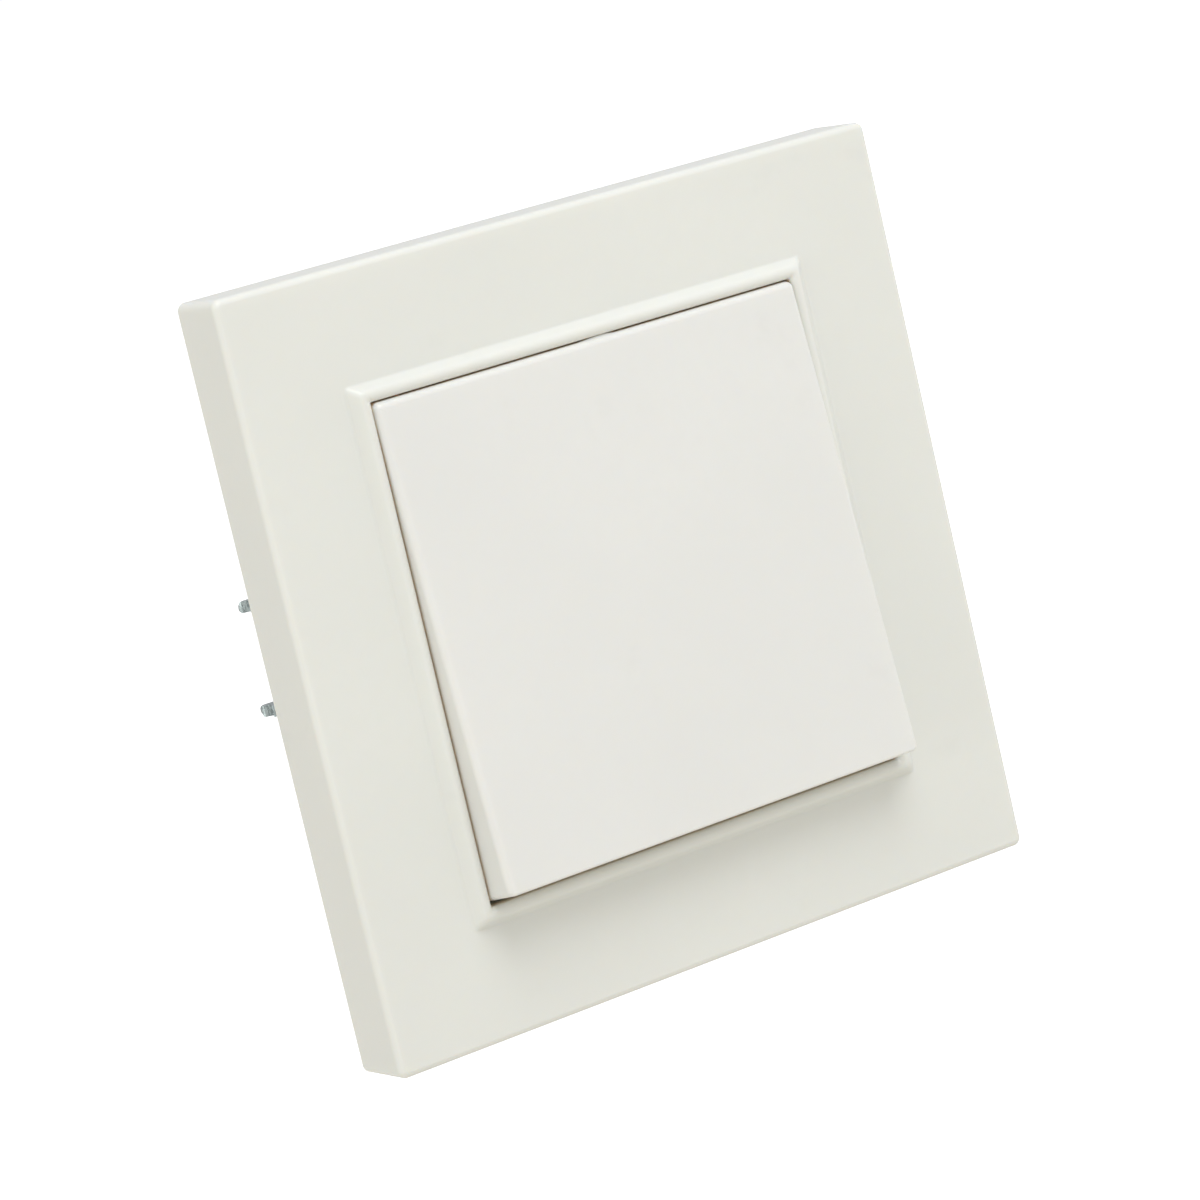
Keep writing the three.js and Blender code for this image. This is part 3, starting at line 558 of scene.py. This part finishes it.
def make_rocker():
    """The rocker's cap, drawn about the pivot: rounded face, side walls, nib, posts and ribs."""
    half_x, half_z, draft_x, draft_z, face, skirt = 27.5, 27.2, 0.02, 0.5, -8.08, -1.6
    wall, chamfer = 1.5, 0.15
    inside = face + 1.9
    base_x, base_z = half_x + draft_x, half_z + draft_z
    rings = [
        [(x, skirt, z) for x, z in rocker_outline(base_x - chamfer, base_z - chamfer)],
        [(x, skirt - chamfer, z) for x, z in rocker_outline(base_x, base_z)],
    ]
    rings += rocker_edge(half_x, half_z, face)
    rings.append([(0.9 * x, y - 0.0001, 0.9 * z) for x, y, z in rings[-1]])
    shell = loft(rings)
    hollow = rounded_loft([
        (half_x - wall - 0.5, half_z - wall - 0.5, 0.3, inside),
        (half_x - wall - 0.15, half_z - wall - 0.15, 0.45, inside + 0.15),
        (half_x - wall, half_z - wall, 0.5, inside + 0.5),
        (half_x - wall, half_z - wall, 0.5, skirt + 1),
    ])
    details = [rocker_nib(half_z)]
    for side in (-1, 1):
        rib = (side * 13.5, side * (half_x - wall + 0.2))
        upright = (side * 13.5, side * (half_z - wall + 0.2))
        details.append(softened(block(rib, (inside - 0.2, -3.6), around(0, 0.5)), 0.1))
        details.append(softened(block(around(0, 0.5), (inside - 0.2, -3.6), upright), 0.1))
        for level in (-1, 1):
            post = block(around(side * 7, 1.1), (inside - 0.2, -3), around(level * 9.5, 1.1))
            barb = block(around(side * 7, 1.1), (-3.7, -3), (level * 9.5, level * 11.5))
            details += [softened(post, 0.15), softened(barb, 0.12)]
    cap = combined(combined(shell, (), [hollow]), details)
    for beside_nib in (-2.4, 4.6):
        parts = [*cap.verts, *cap.edges, *cap.faces]
        bmesh.ops.bisect_plane(cap, geom=parts, plane_co=(beside_nib, 0, 0), plane_no=(1, 0, 0))
    return transformed(cap, TILTED)


def rocker_edge(half_x, half_z, face):
    """Rings round the cap's edge, whose radius is large at the top and left and small at the bottom."""
    left, right, top, bottom = 0.9, 0.45, 0.9, 0.35
    corners = ((right, top), (top, left), (left, bottom), (bottom, right))
    outer = rocker_outline(half_x, half_z)
    half_face = (half_x - (left + right) / 2, half_z - (top + bottom) / 2)
    inner = rounded_rectangle(*half_face, 0.25, OUTLINE_STEPS)
    depths = []
    for start, end in corners:
        for i in range(OUTLINE_STEPS + 1):
            share = math.sin(math.pi / 2 * i / OUTLINE_STEPS) ** 2
            depths.append(start + (end - start) * share)
    rings = []
    for step in range(11):
        angle = math.radians(9 * step)
        ring = []
        for (outer_x, outer_z), (x, z), depth in zip(outer, inner, depths):
            x += (left - right) / 2
            z += (bottom - top) / 2
            share = math.cos(angle)
            y = face + depth * (1 - math.sin(angle))
            ring.append((x + (outer_x - x) * share, y, z + (outer_z - z) * share))
        rings.append(ring)
    return rings


def rocker_nib(half_z):
    """A low swelling on the rocker's top wall that ramps up from the left and ends in a small step."""
    start, apex, end = -1.8, 2.2, 4.0
    rise = 0.13
    steps = 24
    profile = []
    for i in range(steps + 1):
        x = start + (end - start) * i / steps
        t = (x - start) / (apex - start) if x < apex else (end - x) / (end - apex)
        profile.append((x, math.sin(min(1.0, t) * math.pi / 2) ** 1.5))
    root = half_z - 0.5
    rings = []
    sections = (
        (-7.8, half_z - 0.35, 0.08),
        (-7.45, half_z - 0.05, rise + 0.05),
        (-6.6, half_z, 0.1),
    )
    for y, base, height in sections:
        crown = [(x, y, base + height * share) for x, share in reversed(profile)]
        rings.append([(end, y, root), *crown, (start, y, root)])
    return loft(rings)


def make_plunger():
    """The plunger, a sleeve with a collar at its open end and a round nose."""
    profile = [
        (0.01, 8), (1.9, 8), (1.9, 0.1), (2.0, 0), (2.5, 0), (2.6, 0.1), (2.6, 12.1), (2.5, 12.25),
        *arc((0, 13.85), 1.6, 0, 86, 8), (0.01, 15.45),
    ]
    return transformed(lathe(profile), TILTED)


def place_plunger_spring():
    """The plunger's coil spring."""
    turns, radius, wire, start, end = 7, 1.4, 0.25, -2.3, 7.4
    steps = 24 * turns
    path = []
    for i in range(steps + 1):
        angle = 2 * math.pi * turns * i / steps
        y = start + (end - start) * i / steps
        path.append(Vector((radius * math.cos(angle), y, radius * math.sin(angle))))
    coil = place_piece(transformed(sweep(path, wire), TILTED), "plunger_spring", "coil")
    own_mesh(coil)


# ---------------------------------------------------------------- fasteners and contacts


def make_rivet():
    """A drum rivet: domed factory head in front of the ring, upset tail behind the housing's ear."""
    front, tail = -1.3, 4.8
    return lathe([
        (0.01, front - 0.8), (1.2, front - 0.78), (1.8, front - 0.66), (2.2, front - 0.4),
        (2.4, front - 0.08), (2.35, front), (1.2, front), (1.2, tail), (2.0, tail), (2.1, tail + 0.12),
        (2.05, tail + 0.3), (1.7, tail + 0.52), (1.2, tail + 0.6), (0.7, tail + 0.52),
        (0.5, tail + 0.44), (0.01, tail + 0.42),
    ])


def make_contact():
    """A contact rivet with a slightly domed face and an upset shank."""
    head, seat, plate, tail = 1, 0.3, 1.0, 0.6
    end = head + seat + plate + tail
    return lathe([
        (0.01, 0), (0.8, 0.02), (1.3, 0.08), (1.7, 0.2), (1.93, 0.38), (2.0, 0.6), (2.0, 0.95),
        (1.95, head), (1.0, head), (1.0, end - 0.15), (0.85, end), (0.01, end),
    ])


def make_claw_nut():
    """A barrel nut across the claw, with chamfered ends and a tapped cross hole."""
    end, radius = 3.5, 2.8
    barrel = lathe([
        (0.01, -end), (radius - 0.35, -end), (radius - 0.1, -end + 0.12), (radius, -end + 0.35),
        (radius, end - 0.35), (radius - 0.1, end - 0.12), (radius - 0.35, end), (0.01, end),
    ])
    barrel = transformed(barrel, Matrix.Rotation(math.pi / 2, 4, "X"))
    hole = lathe([(2.5, -3.6), (1.8, -2.45), (1.8, 2.45), (2.5, 3.6)])
    return combined(barrel, (), [hole])


def make_claw_screw():
    """A pan-head screw with a slot, a rolled thread and a blunt point."""
    top, seat, end = -3.3, -1.3, 16.0
    head_radius, crest, root, pitch = 2.8, 1.5, 1.22, 0.5
    segments, per_turn = 40, 8
    head = [
        (0.01, top), (1.5, top + 0.02), (2.1, top + 0.12), (2.5, top + 0.35), (2.72, top + 0.65),
        (2.8, top + 1.0), (head_radius, seat - 0.12), (2.7, seat), (crest + 0.3, seat),
        (root + 0.1, seat + 0.25),
    ]
    rings = []
    angles = [2 * math.pi * i / segments for i in range(segments)]
    for radius, y in head:
        rings.append([(radius * math.cos(a), y, radius * math.sin(a)) for a in angles])
    start, rows = seat + 0.4, int((end - 1 - seat - 0.4) / pitch * per_turn)
    for row in range(rows + 1):
        y = start + (end - 1 - start) * row / rows
        fade = min(1.0, row / per_turn, (rows - row) / per_turn)
        ring = []
        for a in angles:
            phase = (y / pitch - a / (2 * math.pi)) % 1
            height = 1 - abs(2 * phase - 1)
            radius = root + (crest - root) * min(1.0, height * 1.25) * fade
            ring.append((radius * math.cos(a), y, radius * math.sin(a)))
        rings.append(ring)
    for radius, y in ((root, end - 0.9), (0.95, end - 0.25), (0.8, end - 0.08), (0.6, end), (0.01, end)):
        rings.append([(radius * math.cos(a), y, radius * math.sin(a)) for a in angles])
    slot = block((-4, 4), (top - 1, top + 1), (-0.4, 0.4))
    return combined(loft(rings), (), [slot])


# ---------------------------------------------------------------- spreader claws


def make_claw(side):
    """A claw pressed from thick sheet: two toothed arms, a slotted web and two round pins."""
    pivot, ear = (20.9, 3.2), 2.1
    thickness, arm_z = 1.3, 6.0
    web_front, web_back, web_in, web_out = 6.5, 7.8, 20.6, 29.2
    tip_x, tip_y, tip_width, tip_radius = 31.0, 26.5, 3.4, 1.0
    lean = (tip_x - web_out) / (tip_y - web_back)
    outline = [*arc(pivot, ear, 215, 300, 8), (26.7, 4.9), (28.7, 6.0)]
    outline += [*arc((web_out - 0.8, web_front + 0.8), 0.8, -40, 0, 3), (web_out, web_back + 1)]
    for tooth in range(3):
        y = tip_y - 1.8 * (3 - tooth)
        x = tip_x - lean * (tip_y - y)
        outline += [(x - 0.7, y), (x - 0.62, y + 0.08), (x - 0.05, y + 0.48), (x, y + 0.62)]
    outline += arc((tip_x - tip_radius, tip_y - tip_radius), tip_radius, 0, 90, 8)
    outline += arc((tip_x - tip_width + tip_radius, tip_y - tip_radius), tip_radius, 90, 180, 8)
    outline += [(24.9, 10.6), (24.3, 9.9), (23.3, 9.2), (web_in, web_back)]
    half = thickness / 2
    solids = []
    for level in (-1, 1):
        outer = level * (arm_z + half)
        arm = prism(outline, level * (arm_z - half), outer)
        for face, radius in ((outer, 0.75), (outer - level * thickness, 0.4)):
            tip = [v for v in arm.verts if abs(v.co.z - face) < 0.01 and v.co.y > tip_y - 1.05]
            drawn = [e for e in arm.edges if all(v in tip for v in e.verts)]
            bmesh.ops.bevel(arm, geom=drawn, offset=radius, segments=5, profile=0.5, affect="EDGES")
        if level < 0:
            for vertex in arm.verts:
                vertex.co.x += 0.35 * max(0.0, (vertex.co.y - web_back) / (tip_y - web_back))
        solids.append(softened(arm, 0.07))
        pin = lathe([(0.01, 0), (1.2, 0), (1.2, 2.9), (1.05, 3.05), (0.01, 3.05)])
        turn = Matrix.Rotation(level * math.pi / 2, 4, "X")
        solids.append(transformed(pin, Matrix.Translation((*pivot, level * (arm_z - 0.35))) @ turn))
    web = softened(block((web_in, web_out), (web_front, web_back), around(0, arm_z)), 0.2)
    slot = softened(block(around(25, 2.7), (web_front - 1, web_back + 1), around(0, 1.9)), 0.5)
    claw = combined(web, solids, [slot])
    mirror = Matrix.Scale(-1, 4, (1, 0, 0)) if side < 0 else Matrix.Identity(4)
    return transformed(claw, mirror)


# ---------------------------------------------------------------- pieces that follow the CAD solid


def make_housing():
    """The base housing, with ejector marks, wire guides and a recessed panel in its floor."""
    back = 24.0
    marks = []
    for x, z in ((-13.2, 0), (-6.5, 9.2), (-6.5, -9.2), (3.4, 0)):
        mark = lathe([(1.4, -0.12), (1.5, 0.5)], 32)
        marks.append(transformed(mark, Matrix.Translation((x, back, z))))
    return softened(combined(cad_copy("base_housing"), (), marks), 0.18)


SOFT_EDGES = {
    "support_ring": 0.14,
    "housing_cover": 0.15,
    "rocker_carrier": 0.15,
    "contact_lever": 0.1,
    "terminal_upper": 0.12,
    "terminal_lower": 0.12,
    "terminal_common": 0.06,
    "clamp_spring_upper": 0.05,
    "clamp_spring_lower": 0.05,
    "clamp_spring_common": 0.05,
    "release_button_upper": 0.14,
    "release_button_lower": 0.14,
    "release_button_common": 0.14,
}


SCREW_X = 25
LEVER = Matrix.Translation((0, 12.5, 0)) @ Matrix.Rotation(math.radians(7), 4, "X")
FIXED_CONTACT = (16.2, 9.7)
MOVING_CONTACT = (1.8, 10)


def build_pieces():
    """Places every finished piece. A contact's place is its y and its distance from the middle."""
    place_piece(make_cover_frame(), "cover_frame", "moulding")
    place_piece(make_rocker(), "rocker", "cap")
    place_piece(make_plunger(), "plunger", "turned")
    place_plunger_spring()
    place_piece(make_housing(), "base_housing", "shell")
    for node, width in SOFT_EDGES.items():
        suffix = "pressed" if "terminal" in node else "finished"
        place_piece(softened(cad_copy(node), width), node, suffix)
    for hand, side in (("left", -1), ("right", 1)):
        place_piece(make_claw(side), f"claw_{hand}", "pressed")
        at_screw = Matrix.Translation((side * SCREW_X, 0, 0))
        place_piece(transformed(make_claw_screw(), at_screw), f"claw_screw_{hand}", "threaded")
        nut_low, nut_high = box_of(f"claw_nut_{hand}")
        at_nut = Matrix.Translation((nut_low + nut_high) / 2)
        place_piece(transformed(make_claw_nut(), at_nut), f"claw_nut_{hand}", "turned")
        for level in ("upper", "lower"):
            node = f"ring_rivet_{level}_{hand}"
            low, high = box_of(node)
            at_rivet = Matrix.Translation(((low.x + high.x) / 2, 0, (low.z + high.z) / 2))
            place_piece(transformed(make_rivet(), at_rivet), node, "upset")
    for level, side in (("upper", 1), ("lower", -1)):
        y, z = FIXED_CONTACT
        fixed = Matrix.Translation((0, y, side * z))
        place_piece(transformed(make_contact(), fixed), f"fixed_contact_{level}", "domed")
        y, z = MOVING_CONTACT
        moving = LEVER @ Matrix.Translation((0, y, side * z)) @ Matrix.Rotation(math.pi, 4, "X")
        place_piece(transformed(make_contact(), moving), f"moving_contact_{level}", "domed")


# ---------------------------------------------------------------- studio


def make_camera():
    """The camera's axis passes just below the switch's centre, and the camera is rolled a little."""
    azimuth, elevation, roll = math.radians(-30.80), math.radians(8.63), math.radians(-13.18)
    distance, lens = 524.03, 142.2
    aim = Vector((-0.33, -0.06, -1.46))
    data = bpy.data.cameras.new("camera")
    data.lens = lens
    data.sensor_width = 36
    data.clip_start = 0.01
    camera = bpy.data.objects.new("camera", data)
    scene.collection.objects.link(camera)
    camera.matrix_world = (
        Matrix.Translation(aim * MM)
        @ Matrix.Rotation(azimuth, 4, "Z")
        @ Matrix.Rotation(math.pi / 2 - elevation, 4, "X")
        @ Matrix.Rotation(roll, 4, "Z")
        @ Matrix.Translation((0, 0, distance * MM))
    )
    scene.camera = camera


# The surroundings' colour at elevations in degrees: pale table, white horizon, dimmer ceiling.
SKY = (
    (-90, (0.80, 0.775, 0.725)),
    (-4.5, (0.80, 0.775, 0.725)),
    (-3.5, (1, 1, 1)),
    (1, (1, 1, 1)),
    (2.5, (0.585, 0.582, 0.594)),
    (90, (0.585, 0.582, 0.594)),
)


def make_light(name, place, size, power, colour):
    """A round soft light that points at the switch."""
    data = bpy.data.lights.new(name, "AREA")
    data.shape = "DISK"
    data.size = size
    data.energy = power
    data.color = colour
    light = bpy.data.objects.new(name, data)
    scene.collection.objects.link(light)
    light.location = place
    light.rotation_euler = (-Vector(place)).to_track_quat("-Z", "Y").to_euler()


def make_studio():
    """A pale floor well below the switch, surroundings with a white horizon, and three soft lights."""
    world = bpy.data.worlds.new("studio")
    scene.world = world
    world.use_nodes = True
    nodes, links = world.node_tree.nodes, world.node_tree.links
    axis = nodes.new("ShaderNodeSeparateXYZ")
    links.new(nodes.new("ShaderNodeTexCoord").outputs["Generated"], axis.inputs[0])
    height = nodes.new("ShaderNodeMapRange")
    height.inputs["From Min"].default_value = -1
    links.new(axis.outputs["Z"], height.inputs["Value"])
    ramp = nodes.new("ShaderNodeValToRGB")
    links.new(height.outputs["Result"], ramp.inputs["Fac"])
    links.new(ramp.outputs["Color"], nodes["Background"].inputs["Color"])
    nodes["Background"].inputs["Strength"].default_value = 1.03
    stops = ramp.color_ramp.elements
    while len(stops) < len(SKY):
        stops.new(0.5)
    for stop, (elevation, colour) in zip(stops, SKY):
        stop.position = (math.sin(math.radians(elevation)) + 1) / 2
        stop.color = (*colour, 1)

    make_light("key", (0, -0.654, 1.006), 0.75, 8.3, (0.955, 0.97, 1))
    make_light("left_fill", (-1, -0.15, 0.1), 0.6, 1.5, (1, 0.99, 0.95))
    make_light("right_fill", (1, -0.15, 0.1), 0.6, 0.6, (1, 1, 1))

    floor_radius, floor_level = 8, -0.35
    bm = bmesh.new()
    bmesh.ops.create_circle(bm, cap_ends=True, radius=floor_radius, segments=96)
    floor = object_of(bm, "floor")
    floor.location.z = floor_level
    paint = Finish("pale_floor", roughness=0.9, emission_color=(1, 1, 1, 1), emission_strength=0.8)
    paint.set(
        paint.shader.inputs["Base Color"],
        paint.mix(paint.noise(300, detail=2), (0.97, 0.97, 0.97, 1), (0.99, 0.99, 0.99, 1)),
    )
    floor.data.materials.append(paint.material)
    floor.visible_diffuse = False
    floor.visible_glossy = False
    floor.visible_shadow = False
    scene.view_settings.view_transform = "Standard"


make_camera()
build_pieces()
make_studio()
